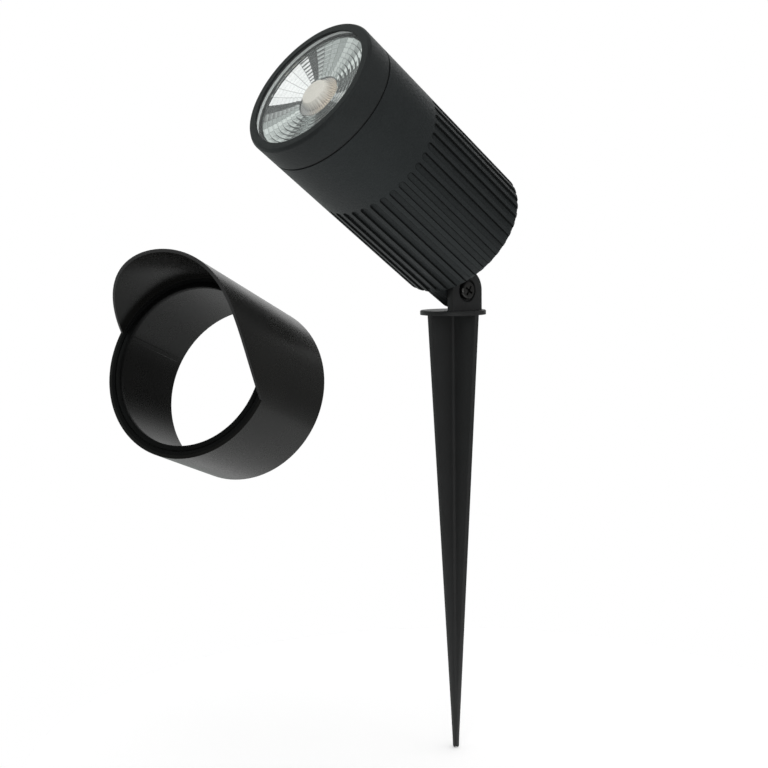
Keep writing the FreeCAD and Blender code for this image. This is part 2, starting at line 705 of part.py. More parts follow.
def driver_terminals():
    """Two-way block for the supply, next to the gland."""
    z = PCB_Z + BLOCK_AT
    top_x = PCB_FACE_X + BLOCK_H
    block = box(PCB_FACE_X, top_x, BLOCK_Y - BLOCK_PITCH, BLOCK_Y + BLOCK_PITCH, z, z + BLOCK_L)
    cuts = []
    for y in (BLOCK_Y - BLOCK_PITCH / 2, BLOCK_Y + BLOCK_PITCH / 2):
        cuts.append(cyl(BLOCK_HOLE_R, z - 1, z + BLOCK_L * 0.6, PCB_FACE_X + BLOCK_H * 0.4, y))
        top = V(PCB_FACE_X + BLOCK_H * 0.8, y, z + BLOCK_L * 0.7)
        cuts.append(Part.makeCylinder(BLOCK_HOLE_R, BLOCK_H, top, X_AXIS))
    return block.cut(cuts)


# ------------------------------------------------------------------ cable gland
def gland_levels():
    """Heights down the gland: under the washer, under the hexagon, end of the neck."""
    washer = REAR_Z - GLAND_WASHER_T
    hexes = washer - GLAND_HEX_H
    return washer, hexes, hexes - GLAND_NECK_LEN


def gland_body():
    washer, hexes, neck = gland_levels()
    body = cyl(GLAND_R - THREAD_GAP / 2, washer - 1, FLOOR_Z + GLAND_INSIDE)
    body = body.fuse([hexagon(GLAND_HEX, hexes, washer), cyl(GLAND_NECK_R, neck, hexes + 1)])
    body = body.cut(cyl(GLAND_BORE_R, neck - 1, FLOOR_Z + GLAND_INSIDE + 1))
    return body.removeSplitter()


def gland_washer():
    return band(GLAND_WASHER_R, GLAND_R, REAR_Z - GLAND_WASHER_T, REAR_Z)


def gland_seal():
    _, hexes, neck = gland_levels()
    return ring(GLAND_BORE_R, CABLE_R, neck - SEAL_OUTSIDE, neck + SEAL_INSIDE)


def gland_nut():
    """Dome nut: flats above, a tapered end below that the cable leaves by."""
    _, hexes, _ = gland_levels()
    low = hexes - DOME_LEN
    flats_low = hexes - DOME_FLATS_H
    dome = revolved([(0, low), (DOME_R - DOME_TAPER, low), (DOME_R, low + DOME_TAPER), (DOME_R, flats_low + 1),
                     (0, flats_low + 1)])
    nut = dome.fuse(hexagon(DOME_FLATS, flats_low, hexes))
    neck_pocket = cyl(GLAND_NECK_R + THREAD_GAP / 2, low + DOME_END, hexes + 1)
    return nut.cut([neck_pocket, cyl(DOME_HOLE_R, low - 1, hexes)])


# ------------------------------------------------------------------ glare shield
def visor_cut():
    """What the slanted opening takes off the tube in front of its lip."""
    front = SHIELD_RING_LEN
    reach = SHIELD_R + 1
    curve = []
    for i in range(VISOR_STEPS + 1):
        share = i / VISOR_STEPS
        curve.append(V(SHIELD_R * share, 0, front + VISOR_LEN * (1 - (1 - share) ** VISOR_POWER)))
    edge = Part.BSplineCurve()
    edge.interpolate(curve)
    top = front + VISOR_LEN + 2
    corners = [curve[-1], V(reach, 0, curve[-1].z), V(reach, 0, top), V(-reach, 0, top),
               V(-reach, 0, front), curve[0]]
    sides = [Part.makeLine(a, b) for a, b in zip(corners, corners[1:])]
    face = Part.Face(Part.Wire([edge.toShape()] + sides))
    return face.extrude(V(0, 2 * reach, 0)).translated(V(0, -reach, 0))


def glare_shield():
    """Thin tube that slips over the head to a lip, and runs on as a slanted visor."""
    tube = ring(SHIELD_R, SHIELD_BORE_R, 0, SHIELD_RING_LEN + VISOR_LEN)
    tube = tube.cut(visor_cut())
    lip = ring(SHIELD_BORE_R + SHIELD_WALL / 2, SHIELD_LIP_R, SHIELD_RING_LEN - SHIELD_LIP_T, SHIELD_RING_LEN)
    groove = ring(SHIELD_GROOVE_R + SHIELD_GROOVE_W, SHIELD_GROOVE_R,
                  SHIELD_RING_LEN - SHIELD_GROOVE_DEPTH, SHIELD_RING_LEN + 1)
    rib_top = SHIELD_RING_LEN - SHIELD_LIP_T - RIB_END
    ribs = []
    for side in (-1, 1):
        rib = box(-RIB_W / 2, RIB_W / 2, SHIELD_BORE_R - RIB_H, SHIELD_BORE_R + SHIELD_WALL / 2,
                  RIB_START, rib_top)
        ribs.append(turned(rib, 0 if side > 0 else 180))
    return tube.fuse([lip.cut(groove)] + ribs).removeSplitter()


# ------------------------------------------------------------------ write the nodes
IN_HEAD = [pivot_screw, friction_washer, lock_washer, pivot_nut, housing, bezel_ring, front_glass,
           glass_gasket, body_seal, reflector, heat_plate, thermal_pad, led_board, led_chip,
           led_phosphor, led_holder, centre_lens, plate_screws, board_screws, led_leads,
           driver_tray, driver_board, driver_transformer, driver_winding, driver_capacitors,
           driver_choke, driver_terminals, gland_body, gland_washer, gland_seal, gland_nut]

os.makedirs("parts", exist_ok=True)
ground_spike().exportStep("parts/ground_spike.step")
for make in IN_HEAD:
    lean_head(make()).exportStep("parts/" + make.__name__ + ".step")
place_shield(glare_shield()).exportStep("parts/glare_shield.step")
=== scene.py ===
"""Garden spike spotlight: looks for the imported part, in metres and in the part's own frame."""
import json
import math
import bmesh
import bpy
from mathutils import Matrix, Vector


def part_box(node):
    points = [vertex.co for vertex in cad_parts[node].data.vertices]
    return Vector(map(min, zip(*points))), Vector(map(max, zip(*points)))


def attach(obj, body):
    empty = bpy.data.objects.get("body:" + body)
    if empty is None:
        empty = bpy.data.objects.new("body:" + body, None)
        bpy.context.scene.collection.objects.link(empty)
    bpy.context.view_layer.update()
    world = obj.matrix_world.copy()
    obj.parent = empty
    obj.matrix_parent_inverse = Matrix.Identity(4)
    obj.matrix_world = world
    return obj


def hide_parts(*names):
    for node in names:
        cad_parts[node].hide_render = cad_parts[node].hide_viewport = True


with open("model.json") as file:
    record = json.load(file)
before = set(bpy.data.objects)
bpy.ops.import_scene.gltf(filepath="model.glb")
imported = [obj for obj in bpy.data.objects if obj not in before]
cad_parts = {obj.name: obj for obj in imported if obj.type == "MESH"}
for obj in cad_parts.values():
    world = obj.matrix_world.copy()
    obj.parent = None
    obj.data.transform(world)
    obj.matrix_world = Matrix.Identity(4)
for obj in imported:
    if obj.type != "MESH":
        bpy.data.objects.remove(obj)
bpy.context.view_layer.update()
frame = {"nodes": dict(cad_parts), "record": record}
MM = 0.001

# ------------------------------------------------------------------ places, read from the part
MOUNTS = {m["name"]: m for m in frame["record"]["mounts"]}
NODE_SLOTS = {s["node"]: s["material_slot"] for s in frame["record"]["subparts"]}
SPIKE_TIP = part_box("ground_spike")[0].z

SEAT_MIDDLE = 88.6 * MM        # plain band's middle along the head, from the tilt axis
BORE_MIDDLE = 19.15 * MM       # shield bore's middle, from its rear rim
SHIELD_ROLL = math.radians(19.9)


def axes_at(origin, along, sideways):
    """Matrix of axes whose Z runs along the given direction and whose Y is near sideways."""
    z = along.normalized()
    x = sideways.cross(z).normalized()
    y = z.cross(x)
    return Matrix.Translation(origin) @ Matrix((x, y, z)).transposed().to_4x4()


HEAD_AXIS = Vector(MOUNTS["hood_seat"]["axis"])
HEAD_FOOT = Vector(MOUNTS["hood_seat"]["pos_m"]) - HEAD_AXIS * SEAT_MIDDLE
HEAD = axes_at(HEAD_FOOT, HEAD_AXIS, Vector((0, 1, 0)))

SHIELD_AXIS = -Vector(MOUNTS["shield_bore"]["axis"])
SHIELD_REAR = Vector(MOUNTS["shield_bore"]["pos_m"]) - SHIELD_AXIS * BORE_MIDDLE
SHIELD_SIDE = SHIELD_AXIS.cross(Vector((0, 0, 1))).normalized()
SHIELD = axes_at(SHIELD_REAR, SHIELD_AXIS, -SHIELD_SIDE) @ Matrix.Rotation(-SHIELD_ROLL, 4, "Z")

# ------------------------------------------------------------------ sizes
# Heights named _Z run along the head from the tilt axis.
HEAD_R = 32.5 * MM
FIN_COUNT = 40
FIN_TURN = 0.3                 # turn, in slots, that puts each slot's middle at a half
SLOT_W = 2.9 * MM
SLOT_FRONT_Z = 73.3 * MM

SEAM_Z = 103.9 * MM
SEAL_T = 0.6 * MM
SEAL_BORE_R = 30.2 * MM
SEAL_R = 32.0 * MM

FRONT_Z = 117.3 * MM
BEZEL_BORE_R = 30.3 * MM
BEZEL_OPEN_R = 28.3 * MM
CORNER_BACK = 1.24 * MM        # the bezel's cut front corner, along the head
CORNER_IN = 0.84 * MM          # and across it
CORNER_NEAR = 0.06 * MM        # edges this near to that cut belong to it
BREAK = 0.2 * MM               # small break at the bezel's other corners

GLASS_Z = 114.1 * MM
GLASS_TOP = 116.5 * MM
GLASS_R = 29.9 * MM
GLASS_CUT = 0.4 * MM           # ground corners of the glass
GLASS_BAND_R = 29.45 * MM      # the glass is frosted outside this
GLASS_BORDER_Z = 115.0 * MM    # and black there in front of this

LEDGE_Z = 107.5 * MM
HOLDER_Z = 109.5 * MM
RIM_R = 28.2 * MM
DISH_MOUTH_R = 27.5 * MM
DISH_NECK_R = 10.0 * MM
DISH_DEPTH = 2.8 * MM
DISH_POWER = 1.5
DISH_GAP = 0.5 * MM            # from the glass to the mean dish at its mouth
SECTORS = 36
SECTOR_STEPS = 4
RINGS = 8
RING_WIDTH = (DISH_MOUTH_R - DISH_NECK_R) / RINGS
TOOTH_SLOPE = math.tan(math.radians(20))
TOOTH_CROWN = 0.04 * MM
TOOTH_SINK = 0.2 * MM          # from the mean dish down to each tooth's foot
LENS_TOP = 113.6 * MM
LENS_FLUTES = 48

SHIELD_R = 34.0 * MM
SHIELD_BORE_R = 32.8 * MM
LIP_FRONT = 40.3 * MM          # face of the shield's lip, from its rear rim
LIP_T = 2.0 * MM

ROUND_STEPS = 128              # sides of the bezel and its seal
GLASS_STEPS = 96               # and of the glass and the floor

CUT_EDGE = "cut_edge"          # attribute of faces on the shield's slanted cut
FACETED_ROUND = (18, 50)       # degrees by which the faces of a CAD node's round turn
SHARP = (55, 180)              # and those at a sharp edge


# ------------------------------------------------------------------ shader maths
class Wire:
    """The output of a shader node; arithmetic on it adds Math nodes."""

    def __init__(self, graph, socket):
        self.graph = graph
        self.socket = socket

    def __add__(self, other):
        return self.graph.maths("ADD", self, other)

    def __sub__(self, other):
        return self.graph.maths("SUBTRACT", self, other)

    def __rsub__(self, other):
        return self.graph.maths("SUBTRACT", other, self)

    def __mul__(self, other):
        return self.graph.maths("MULTIPLY", self, other)

    __radd__ = __add__
    __rmul__ = __mul__


class Graph:
    """Shader nodes added one by one to a node tree."""

    def __init__(self, tree):
        self.tree = tree

    def add(self, kind, settings=None, inputs=None, output=0):
        """A node of that kind: its settings first, then the values or links of its inputs."""
        node = self.tree.nodes.new(kind)
        for key, value in (settings or {}).items():
            setattr(node, key, value)
        for key, value in (inputs or {}).items():
            self.plug(node.inputs[key], value)
        return Wire(self, node.outputs[output])

    def plug(self, socket, value):
        if isinstance(value, Wire):
            self.tree.links.new(value.socket, socket)
        else:
            socket.default_value = value

    def maths(self, operation, first, second=0.0, third=0.0):
        settings = {"operation": operation}
        return self.add("ShaderNodeMath", settings, {0: first, 1: second, 2: third})

    def mix(self, factor, first, second):
        """Blend of two colours."""
        inputs = {0: factor, 6: first, 7: second}
        return self.add("ShaderNodeMix", {"data_type": "RGBA"}, inputs, output=2)

    def ramp(self, value, stops):
        """Colour at a value from 0 to 1, from the places and colours of the stops."""
        colour = self.add("ShaderNodeValToRGB", inputs={0: value})
        elements = colour.socket.node.color_ramp.elements
        while len(elements) < len(stops):
            elements.new(0.5)
        for element, (place, tint) in zip(elements, stops):
            element.position = place
            element.color = tint
        return colour

    def scaled(self, value, low, high):
        """Where a value lies between low and high, from 0 to 1."""
        inputs = {0: value, 1: low, 2: high, 3: 0.0, 4: 1.0}
        return self.add("ShaderNodeMapRange", inputs=inputs)

    def along(self, place, direction):
        """How far a place lies along a direction."""
        inputs = {0: place, 1: direction}
        return self.add("ShaderNodeVectorMath", {"operation": "DOT_PRODUCT"}, inputs, output=1)


class Finish(Graph):
    """A material built up round its Principled shader."""

    def __init__(self, name, **constants):
        self.material = bpy.data.materials.new(name)
        self.material.use_nodes = True
        super().__init__(self.material.node_tree)
        self.shader = self.tree.nodes["Principled BSDF"]
        for socket, value in constants.items():
            self.shader.inputs[socket.replace("_", " ")].default_value = value
        self.place = self.add("ShaderNodeTexCoord", output="Object")

    def feed(self, socket, value):
        self.plug(self.shader.inputs[socket], value)

    def noise(self, size, detail=2.0, roughness=0.5):
        """Noise whose grains are about that size, in metres."""
        inputs = {"Vector": self.place, "Scale": 1 / size, "Detail": detail,
                  "Roughness": roughness}
        return self.add("ShaderNodeTexNoise", inputs=inputs)

    def local(self, axes):
        """The place's coordinates along those axes, as three wires."""
        inputs = {0: self.place, 1: axes.translation}
        offset = self.add("ShaderNodeVectorMath", {"operation": "SUBTRACT"}, inputs)
        return [self.along(offset, Vector(axes.col[i][:3])) for i in range(3)]

    def radius(self, x, y):
        """Distance from the Z axis."""
        return self.maths("SQRT", x * x + y * y)

    def turn(self, x, y, count):
        """Turn about the Z axis, in steps of which a full turn has that count."""
        return self.maths("ARCTAN2", y, x) * (count / math.tau)

    def bump(self, height, depth):
        """Raise the surface by a height of 0 to 1 times depth, in metres."""
        inputs = {"Strength": 1.0, "Distance": depth, "Height": height}
        self.feed("Normal", self.add("ShaderNodeBump", inputs=inputs))


def grey(level):
    return (level, level, level, 1.0)


def times(tint, factor):
    """A tint made lighter or darker."""
    return tuple(c * factor for c in tint[:3]) + (1.0,)


# ------------------------------------------------------------------ materials
def powder_coat(name, tint, grain, roughness):
    """Fine-textured black powder coat, with painted shade as dark lines where the slots' edges
    meet the round.
    """
    coat = Finish(name, Specular_IOR_Level=0.2, Specular_Tint=(0.88, 1.0, 1.0, 1.0))
    mottle = coat.noise(9 * MM, 3)
    fine = coat.noise(grain, 3, 0.6)
    coarse = coat.noise(grain * 3, 2)
    speckle = mottle * 0.35 + coat.scaled(fine, 0.3, 0.7) * 0.65

    # Distance outside the round-ended slot that is nearest, taken along the round.
    x, y, z = coat.local(HEAD)
    slot = coat.maths("FRACT", coat.turn(x, y, FIN_COUNT) + FIN_TURN)
    across = coat.maths("ABSOLUTE", slot - 0.5) * (math.tau / FIN_COUNT * HEAD_R)
    ahead = coat.maths("MAXIMUM", z - (SLOT_FRONT_Z - SLOT_W / 2), 0.0)
    outside = coat.radius(across, ahead) - SLOT_W / 2
    slot_shade_line = coat.scaled(coat.maths("ABSOLUTE", outside + 0.06 * MM), 0.24 * MM, 0.06 * MM)
    # The painted shade lines are on the round and the slots' sides only, and end with the slots.
    skin = coat.maths("COMPARE", coat.radius(x, y), HEAD_R - 0.5 * MM, 0.8 * MM)
    painted_slot_shade = slot_shade_line * skin * coat.maths("LESS_THAN", z, SLOT_FRONT_Z + 1 * MM)

    plain = coat.mix(speckle, tint, times(tint, 2.0))
    # Painted shade: the slot outlines are darkened to near black in the base colour.
    coat.feed("Base Color", coat.mix(painted_slot_shade, plain, grey(0.003)))
    coat.feed("Roughness", roughness + (fine - 0.5) * 0.16 + (mottle - 0.5) * 0.08 + painted_slot_shade * 0.5)
    coat.bump(fine * 0.6 + coarse * 0.4, grain * 0.6)
    return coat.material


def shield_satin(name, tint, roughness):
    """Satin black of a sprayed tube: near black and matt on the lip inside it, lighter on its cut
    edge.
    """
    coat = Finish(name, Specular_IOR_Level=0.11, Specular_Tint=(0.93, 1.0, 0.98, 1.0))
    drift = coat.noise(18 * MM, 2)
    peel = coat.noise(1.1 * MM, 2)
    x, y, z = coat.local(SHIELD)
    inside = coat.maths("LESS_THAN", coat.radius(x, y), SHIELD_BORE_R - 0.05 * MM)
    off_lip = coat.maths("ABSOLUTE", z - (LIP_FRONT - LIP_T / 2))
    lip = inside * coat.maths("LESS_THAN", off_lip, LIP_T * 0.55)
    cut = coat.add("ShaderNodeAttribute", {"attribute_name": CUT_EDGE}, output=2) * (1 - lip)

    plain = coat.mix(drift, tint, times(tint, 1.35))
    coat.feed("Base Color", coat.mix(cut, coat.mix(lip, plain, grey(0.0022)), grey(0.03)))
    coat.feed("Roughness", roughness + (drift - 0.5) * 0.1 + (peel - 0.5) * 0.05 + lip * 0.3)
    coat.bump(peel, 0.012 * MM)
    return coat.material


def moulded_black(name, tint, roughness):
    """Moulded plastic with a fine spark-eroded texture."""
    plastic = Finish(name, Specular_IOR_Level=0.25)
    flow = plastic.noise(14 * MM, 3)
    spark = plastic.noise(0.45 * MM, 3, 0.65)
    plastic.feed("Base Color", plastic.mix(flow, tint, times(tint, 1.4)))
    plastic.feed("Roughness", roughness + (spark - 0.5) * 0.18)
    plastic.bump(spark, 0.06 * MM)
    return plastic.material


def mirror_film(name):
    """Vacuum-metallised moulding: bright, hazy in places, with painted shade along the seams
    between the facets.
    """
    film = Finish(name, Metallic=1.0)
    haze = film.noise(2.2 * MM, 3)

    # Distance to the nearest seam between columns, and to that between rings, for the painted
    # shade along them.
    x, y, _ = film.local(HEAD)
    radius = film.radius(x, y)
    offset = film.maths("FRACT", film.turn(x, y, SECTORS)) - 0.5
    column = (0.5 - film.maths("ABSOLUTE", offset)) * radius * (math.tau / SECTORS)
    flat = radius * film.maths("COSINE", offset * (math.tau / SECTORS))
    tooth = film.maths("FRACT", (flat - DISH_NECK_R) * (1 / RING_WIDTH))
    step = film.maths("MINIMUM", tooth, 1 - tooth) * RING_WIDTH
    painted_seam_shade = film.scaled(film.maths("MINIMUM", column, step), 0.26 * MM, 0.06 * MM)

    clear = film.mix(haze, (0.80, 0.83, 0.82, 1), (0.93, 0.95, 0.94, 1))
    # Painted shade: the seams between the facets are darkened in the base colour.
    film.feed("Base Color", film.mix(painted_seam_shade * 0.5, clear, (0.16, 0.17, 0.17, 1)))
    film.feed("Roughness", 0.03 + haze * 0.05)
    film.bump(haze, 0.006 * MM)
    return film.material


def clear_glass(name):
    """Toughened glass, faintly green, with a trace of dust, a frosted edge and a black border."""
    glass = Finish(name, Specular_IOR_Level=0.6)
    dust = glass.noise(3 * MM, 4, 0.6)
    x, y, z = glass.local(HEAD)
    edge = glass.maths("GREATER_THAN", glass.radius(x, y), GLASS_BAND_R)
    border = edge * glass.maths("GREATER_THAN", z, GLASS_BORDER_Z)
    clean = glass.mix(dust, (0.80, 0.86, 0.84, 1), (0.88, 0.92, 0.91, 1))
    glass.feed("Base Color", glass.mix(border, clean, grey(0.006)))
    glass.feed("Roughness", 0.02 + dust * 0.04 + edge * 0.6)
    glass.feed("Alpha", 0.06 + dust * 0.03 + edge * 0.85)
    return glass.material


def brushed(name, tint, roughness):
    """Turned stainless steel, with fine marks across the light."""
    steel = Finish(name, Metallic=1.0)
    marks = steel.noise(0.25 * MM, 3, 0.7)
    steel.feed("Base Color", steel.mix(marks, times(tint, 0.75), tint))
    steel.feed("Roughness", roughness + (marks - 0.5) * 0.2)
    steel.bump(marks, 0.01 * MM)
    return steel.material


def lens_silicone(name):
    """Clear optic over the chip: milky on top, fluted round its side with painted shade in the
    flutes, and painted amber low on one side, the chip seen through it.
    """
    lens = Finish(name, Specular_IOR_Level=0.5)
    x, y, z = lens.local(HEAD)
    cloud = lens.noise(2 * MM, 3)
    milky = lens.mix(cloud, (0.76, 0.73, 0.65, 1), (0.87, 0.84, 0.76, 1))
    low = lens.scaled(z, LENS_TOP - 0.3 * MM, LENS_TOP - 3.4 * MM)
    # Painted: amber on one side where the chip would be seen through the clear side.
    painted_chip_amber = lens.scaled(y, 2 * MM, -7 * MM)
    side = lens.mix(painted_chip_amber, (0.54, 0.55, 0.54, 1), (0.82, 0.70, 0.55, 1))
    # Painted shade of the flutes round the side, as dark stripes in the base colour.
    flute_shade_wave = lens.maths("SINE", lens.maths("ARCTAN2", y, x) * LENS_FLUTES) * 0.5 + 0.5
    painted_flute_shade = lens.mix(flute_shade_wave * 0.75, side, (0.16, 0.15, 0.13, 1))
    lens.feed("Base Color", lens.mix(low, milky, painted_flute_shade))
    lens.feed("Roughness", 0.12 + cloud * 0.08)
    lens.bump(cloud, 0.02 * MM)
    return lens.material


def plain_plastic(name, tint, roughness):
    """Any other moulded or rubber piece, with a slight unevenness."""
    plastic = Finish(name, Specular_IOR_Level=0.4)
    cloud = plastic.noise(4.8 * MM, 3)
    fine = plastic.noise(1.2 * MM, 2)
    plastic.feed("Base Color", plastic.mix(cloud, times(tint, 0.8), tint))
    plastic.feed("Roughness", roughness + (fine - 0.5) * 0.15)
    plastic.bump(fine, 0.024 * MM)
    return plastic.material


# What makes each finish, and what it is given after the finish's name.
RECIPES = {
    "spike_moulding": (moulded_black, (0.0120, 0.0126, 0.0126, 1), 0.48),
    "body_coat": (powder_coat, (0.0094, 0.0106, 0.0109, 1), 0.45 * MM, 0.44),
    "bezel_coat": (powder_coat, (0.0108, 0.0118, 0.0119, 1), 0.4 * MM, 0.44),
    "shield_coat": (shield_satin, (0.0062, 0.0062, 0.0058, 1), 0.27),
    "front_glass": (clear_glass,),
    "seal_rubber": (plain_plastic, (0.012, 0.012, 0.012, 1), 0.6),
    "mirror_coat": (mirror_film,),
    "dark_screw": (brushed, (0.10, 0.10, 0.097, 1), 0.3),
    "stainless": (brushed, (0.55, 0.55, 0.53, 1), 0.3),
    "heat_metal": (brushed, (0.72, 0.73, 0.74, 1), 0.4),
    "heat_pad": (plain_plastic, (0.32, 0.34, 0.4, 1), 0.8),
    "board_mask": (plain_plastic, (0.82, 0.83, 0.8, 1), 0.35),
    "chip_ceramic": (plain_plastic, (0.8, 0.8, 0.78, 1), 0.5),
    "phosphor": (plain_plastic, (0.9, 0.62, 0.16, 1), 0.35),
    "holder_white": (plain_plastic, (0.82, 0.82, 0.8, 1), 0.5),
    "lens_clear": (lens_silicone,),
    "lead_cover": (plain_plastic, (0.55, 0.06, 0.04, 1), 0.5),
    "tray_plastic": (plain_plastic, (0.72, 0.72, 0.7, 1), 0.5),
    "circuit_board": (plain_plastic, (0.03, 0.18, 0.08, 1), 0.3),
    "ferrite": (plain_plastic, (0.06, 0.06, 0.065, 1), 0.7),
    "winding_tape": (plain_plastic, (0.7, 0.52, 0.08, 1), 0.4),
    "can_sleeve": (plain_plastic, (0.04, 0.04, 0.07, 1), 0.3),
    "terminal_plastic": (plain_plastic, (0.03, 0.22, 0.09, 1), 0.45),
    "gland_nylon": (plain_plastic, (0.012, 0.012, 0.0125, 1), 0.45),
}
FINISHES = {name: make(name, *given) for name, (make, *given) in RECIPES.items()}

for node, piece in frame["nodes"].items():
    piece.data.materials.clear()
    piece.data.materials.append(FINISHES[NODE_SLOTS[node]])


# ------------------------------------------------------------------ making pieces
def made(name, shape, body, slot, replaced, place=None, smooth=35):
    """Turn a finished bmesh into a piece that stands for CAD nodes and rides on a body.

    The place moves the shape first; edges that turn by over smooth degrees stay sharp."""
    if place is not None:
        shape.transform(place)
    bmesh.ops.recalc_face_normals(shape, faces=shape.faces)
    mesh = bpy.data.meshes.new(name)
    shape.to_mesh(mesh)
    shape.free()
    for polygon in mesh.polygons:
        polygon.use_smooth = True
    mesh.set_sharp_from_angle(angle=math.radians(smooth))
    mesh.materials.append(FINISHES[slot])
    piece = bpy.data.objects.new(name, mesh)
    bpy.context.scene.collection.objects.link(piece)
    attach(piece, body)
    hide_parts(*replaced)
    return piece


def off_axis(place, axes):
    """How far a place lies along the axes' Z, and how it lies from that line."""
    away = place - axes.translation
    line = Vector(axes.col[2][:3])
    height = away.dot(line)
    return height, away - line * height


def cut_edges_marked(piece, axes, front_z):
    """Mark the faces in front of a height that don't face along the radius, for their finish."""
    mesh = piece.data
    marks = mesh.attributes.new(CUT_EDGE, "FLOAT", "FACE")
    for polygon in mesh.polygons:
        height, away = off_axis(polygon.center, axes)
        if height > front_z and abs(polygon.normal.dot(away.normalized())) < 0.8:
            marks.data[polygon.index].value = 1.0


def trued(piece, axes, *radii):
    """Shade the faces on cylinders of those radii about the axes' Z as true rounds."""
    mesh = piece.data
    normals = [corner.vector.copy() for corner in mesh.corner_normals]
    for polygon in mesh.polygons:
        _, away = off_axis(polygon.center, axes)
        facing = polygon.normal.dot(away.normalized())
        near = min(abs(away.length - radius) for radius in radii) < 0.2 * MM
        if near and abs(facing) > 0.99:
            for loop in polygon.loop_indices:
                corner = mesh.vertices[mesh.loops[loop].vertex_index].co
                _, out = off_axis(corner, axes)
                normals[loop] = out.normalized() * math.copysign(1, facing)
    mesh.normals_split_custom_set(normals)


def spun(profile, steps, closed=True):
    """A turned shape from (radius, z) points, spun about Z."""
    shape = bmesh.new()
    points = [shape.verts.new((radius, 0, z)) for radius, z in profile]
    ends = points[1:] + points[:1] if closed else points[1:]
    edges = [shape.edges.new(pair) for pair in zip(points, ends)]
    bmesh.ops.spin(shape, geom=points + edges, cent=(0, 0, 0), axis=(0, 0, 1),
                   angle=math.tau, steps=steps, use_merge=True)
    bmesh.ops.remove_doubles(shape, verts=shape.verts, dist=0.001 * MM)
    return shape


def round_over(shape, edges, width, segments=3):
    bmesh.ops.bevel(shape, geom=edges, offset=width, affect="EDGES", segments=segments,
                    profile=0.5, material=-1, clamp_overlap=True)


def bent_edges(shape, low, high):
    """Edges between faces that turn by an angle from low to high, in degrees."""
    return [e for e in shape.edges if len(e.link_faces) == 2
            and math.radians(low) < e.calc_face_angle() <= math.radians(high)]


def eased(node, width, soft=0.0, fillet=0.0):
    """A copy of a CAD node with its sharp edges rounded over.

    Facets are merged first. A soft width also rounds the edges of faceted rounds, and a fillet
    the long corners where the spike's blades cross."""
    shape = bmesh.new()
    shape.from_mesh(frame["nodes"][node].data)
    bmesh.ops.remove_doubles(shape, verts=shape.verts, dist=0.002 * MM)
    bmesh.ops.dissolve_limit(shape, angle_limit=math.radians(0.3), verts=shape.verts,
                             edges=shape.edges, use_dissolve_boundaries=False)
    if soft:
        round_over(shape, bent_edges(shape, *FACETED_ROUND), soft)
    if fillet:
        crossing = [e for e in bent_edges(shape, *SHARP) if e.calc_length() > 50 * MM
                    and max(v.co.z for v in e.verts) < 0.1 * MM
                    and max(v.co.xy.length for v in e.verts) < 3 * MM]
        round_over(shape, crossing, fillet)
    round_over(shape, bent_edges(shape, *SHARP), width, 2)
    return shape


# ------------------------------------------------------------------ spike, housing and gland
made("spike_and_ear", eased("ground_spike", 0.3 * MM, fillet=1.2 * MM), "spike",
     "spike_moulding", ["ground_spike"])
housing = made("finned_body", eased("housing", 0.12 * MM, soft=0.4 * MM), "head",
               "body_coat", ["housing"], smooth=25)
trued(housing, HEAD, HEAD_R)
made("hinge_screw", eased("pivot_screw", 0.12 * MM, soft=0.4 * MM), "pivot_screw",
     "dark_screw", ["pivot_screw"])
made("gland_shell", eased("gland_body", 0.12 * MM), "head", "gland_nylon", ["gland_body"])
made("gland_cap", eased("gland_nut", 0.15 * MM, soft=0.3 * MM), "head",
     "gland_nylon", ["gland_nut"])
shield = made("shield_tube", eased("glare_shield", 0.15 * MM), "glare_shield",
              "shield_coat", ["glare_shield"])
cut_edges_marked(shield, SHIELD, LIP_FRONT + 0.1 * MM)
trued(shield, SHIELD, SHIELD_BORE_R, SHIELD_R)
made("lens_body", eased("centre_lens", 0.1 * MM, soft=0.12 * MM), "head",
     "lens_clear", ["centre_lens"])


# ------------------------------------------------------------------ bezel, seal and glass
def bezel():
    """Ring with its front corner cut and rounded over, and a small break at the other corners."""
    back_z = SEAM_Z + SEAL_T
    cut_z = FRONT_Z - CORNER_BACK
    cut_r = HEAD_R - CORNER_IN
    ring = spun([(BEZEL_BORE_R, back_z), (HEAD_R - BREAK, back_z), (HEAD_R, back_z + BREAK),
                 (HEAD_R, cut_z), (cut_r, FRONT_Z),
                 (BEZEL_OPEN_R + BREAK, FRONT_Z), (BEZEL_OPEN_R, FRONT_Z - BREAK),
                 (BEZEL_OPEN_R, GLASS_TOP), (BEZEL_BORE_R, GLASS_TOP)], ROUND_STEPS)
    corner = [e for e in bent_edges(ring, 20, 80)
              if min(v.co.z for v in e.verts) > cut_z - CORNER_NEAR
              and min(v.co.xy.length for v in e.verts) > cut_r - CORNER_NEAR]
    round_over(ring, corner, 0.35 * MM)
    return ring


def seam_seal():
    """Flat ring between the bezel and the body."""
    return spun([(SEAL_BORE_R, SEAM_Z), (SEAL_R, SEAM_Z), (SEAL_R, SEAM_Z + SEAL_T),
                 (SEAL_BORE_R, SEAM_Z + SEAL_T)], ROUND_STEPS)


def glass_disc():
    """Flat disc with ground corners."""
    face_r = GLASS_R - GLASS_CUT
    return spun([(0, GLASS_Z), (face_r, GLASS_Z), (GLASS_R, GLASS_Z + GLASS_CUT),
                 (GLASS_R, GLASS_TOP - GLASS_CUT), (face_r, GLASS_TOP), (0, GLASS_TOP)],
                GLASS_STEPS)


made("bezel", bezel(), "head", "bezel_coat", ["bezel_ring"], HEAD, smooth=25)
made("seam_seal", seam_seal(), "head", "seal_rubber", ["body_seal"], HEAD, smooth=25)
made("glass_disc", glass_disc(), "head", "front_glass", ["front_glass"], HEAD, smooth=25)


# ------------------------------------------------------------------ reflector
def dish_height(share):
    """Mean height of the dish: share runs from neck to mouth."""
    return GLASS_Z - DISH_GAP - DISH_DEPTH * (1 - share ** DISH_POWER)


